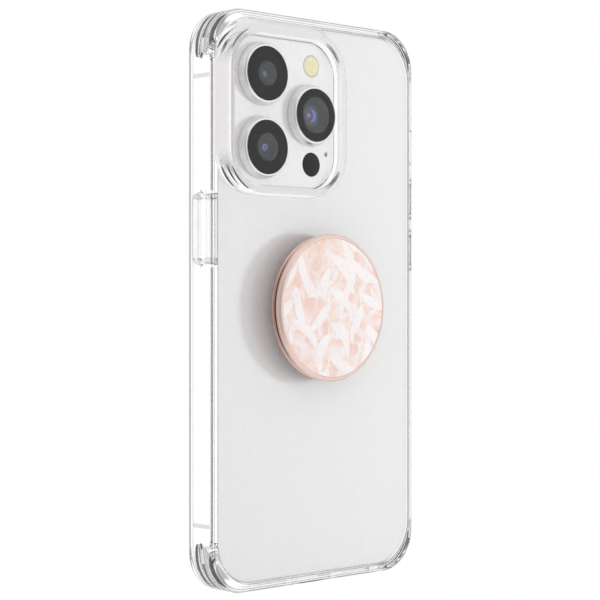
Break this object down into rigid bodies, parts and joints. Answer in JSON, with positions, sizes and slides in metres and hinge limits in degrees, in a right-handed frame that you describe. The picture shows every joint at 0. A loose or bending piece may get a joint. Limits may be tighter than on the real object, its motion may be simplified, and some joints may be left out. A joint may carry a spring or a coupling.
{
  "type": "smartphone",
  "caption": "Slim phone in a clear protective case, with a square camera plateau and a round grip on the back that folds flat and telescopes out.",
  "frame": {"origin": "the point where the axis of the round grip meets the outer face of the case back", "axes": "upright: +Z towards the top of the phone, +Y out of its back, -Y out of its screen, +X on the power key's side"},
  "size_m": [0.0764, 0.016, 0.1517],
  "materials": {
    "clear_case": "clear, polished",
    "grip_white": "satin moulded",
    "grip_metal": "rose-gold satin",
    "grip_soft": "soft moulded elastomer",
    "grip_inlay": "clear-coated pearl print",
    "band_steel": "polished silver",
    "break_plastic": "moulded flush",
    "frame_aluminium": "machined",
    "rear_frost": "frosted back of white glass",
    "plateau_glass": "polished white glass",
    "gasket_black": "foam adhesive",
    "lens_steel": "polished",
    "lens_glass": "black-masked sapphire",
    "lens_black": "anodised black",
    "flash_lens": "diffusing lens",
    "flash_phosphor": "phosphor",
    "sensor_black": "dark filter glass",
    "screen_glass": "polished, dark with the display off",
    "display_panel": "unlit panel",
    "speaker_black": "moulded",
    "battery_wrap": "foil pouch",
    "board_green": "solder mask",
    "shield_steel": "stamped",
    "flex_amber": "polyimide",
    "haptic_metal": "sintered",
    "coil_copper": "enamelled copper wire",
    "magnet_nickel": "nickel plated",
    "screw_steel": "passivated"
  },
  "bodies": {
    "root": {"case_back_panel": "clear_case", "case_bumper": "clear_case", "case_camera_guard": "clear_case", "grip_adhesive_pad": "grip_white", "grip_base": "grip_white", "grip_base_ring": "grip_metal", "side_band_power": "band_steel", "side_band_volume": "band_steel", "top_band": "band_steel", "bottom_band": "band_steel", "antenna_breaks": "break_plastic", "midframe_plate": "frame_aluminium", "rear_glass": "rear_frost", "camera_plateau": "plateau_glass", "glass_gaskets": "gasket_black", "upper_lens_ring": "lens_steel", "middle_lens_ring": "lens_steel", "lower_lens_ring": "lens_steel", "lens_covers": "lens_glass", "camera_housings": "lens_black", "depth_sensor_module": "lens_black", "front_camera_module": "lens_black", "microphones": "lens_black", "flash_window": "flash_lens", "flash_led": "flash_phosphor", "depth_sensor_window": "sensor_black", "front_glass": "screen_glass", "oled_panel": "display_panel", "earpiece_speaker": "speaker_black", "bottom_speaker": "speaker_black", "battery": "battery_wrap", "logic_board": "board_green", "shield_cans": "shield_steel", "haptic_housing": "shield_steel", "charging_port": "shield_steel", "button_switches": "flex_amber", "charging_coil": "coil_copper", "magnet_ring": "magnet_nickel", "screws": "screw_steel"},
    "power_press": {"power_key": "band_steel", "case_power_cover": "clear_case"},
    "volume_up_press": {"volume_up_key": "band_steel", "case_volume_up_cover": "clear_case"},
    "volume_down_press": {"volume_down_key": "band_steel", "case_volume_down_cover": "clear_case"},
    "mute_lever": {"mute_switch": "band_steel"},
    "upper_focus": {"upper_lens_barrel": "lens_black"},
    "middle_focus": {"middle_lens_barrel": "lens_black"},
    "lower_focus": {"lower_lens_barrel": "lens_black"},
    "haptic": {"haptic_mass": "haptic_metal"},
    "grip_rotor": {"grip_bayonet_foot": "grip_white", "accordion_outer_ring": "grip_soft", "accordion_outer_web": "grip_soft"},
    "grip_middle": {"accordion_middle_ring": "grip_soft", "accordion_middle_web": "grip_soft"},
    "grip_inner": {"accordion_inner_ring": "grip_soft", "accordion_inner_web": "grip_soft"},
    "grip_button": {"grip_platform": "grip_white", "grip_rim": "grip_metal", "grip_face": "grip_inlay"}
  },
  "joints": [
    {"name": "power_key_press", "type": "slide", "parent": "root", "child": "power_press", "axis": [-1, 0, 0], "range_m": [0, 0.00025], "stiffness_N_per_m": 3000, "springref_m": -0.0003},
    {"name": "volume_up_key_press", "type": "slide", "parent": "root", "child": "volume_up_press", "axis": [1, 0, 0], "range_m": [0, 0.00025], "stiffness_N_per_m": 3000, "springref_m": -0.0003},
    {"name": "volume_down_key_press", "type": "slide", "parent": "root", "child": "volume_down_press", "axis": [1, 0, 0], "range_m": [0, 0.00025], "stiffness_N_per_m": 3000, "springref_m": -0.0003},
    {"name": "mute_slide", "type": "slide", "parent": "root", "child": "mute_lever", "axis": [0, 1, 0], "range_m": [0, 0.0012]},
    {"name": "upper_lens_focus", "type": "slide", "parent": "root", "child": "upper_focus", "axis": [0, 1, 0], "range_m": [0, 0.00025], "stiffness_N_per_m": 60},
    {"name": "middle_lens_focus", "type": "slide", "parent": "root", "child": "middle_focus", "axis": [0, 1, 0], "range_m": [0, 0.00025], "stiffness_N_per_m": 60},
    {"name": "lower_lens_focus", "type": "slide", "parent": "root", "child": "lower_focus", "axis": [0, 1, 0], "range_m": [0, 0.00025], "stiffness_N_per_m": 60},
    {"name": "haptic_shake", "type": "slide", "parent": "root", "child": "haptic", "axis": [1, 0, 0], "range_m": [-0.0004, 0.0004], "stiffness_N_per_m": 1500},
    {"name": "grip_turn", "type": "hinge", "parent": "root", "child": "grip_rotor", "pos_m": [0, 0, 0], "axis": [0, 1, 0], "range_deg": [0, 90]},
    {"name": "grip_rise_outer", "type": "slide", "parent": "grip_rotor", "child": "grip_middle", "axis": [0, 1, 0], "range_m": [0, 0.0046], "deforming": ["accordion_outer_web"]},
    {"name": "grip_rise_middle", "type": "slide", "parent": "grip_middle", "child": "grip_inner", "axis": [0, 1, 0], "range_m": [0, 0.0046], "deforming": ["accordion_middle_web"]},
    {"name": "grip_rise", "type": "slide", "parent": "grip_inner", "child": "grip_button", "axis": [0, 1, 0], "range_m": [0, 0.0046], "deforming": ["accordion_inner_web"]}
  ],
  "couplings": [
    {"joint": "grip_rise_outer", "follows": "grip_rise", "ratio": 1},
    {"joint": "grip_rise_middle", "follows": "grip_rise", "ratio": 1}
  ]
}
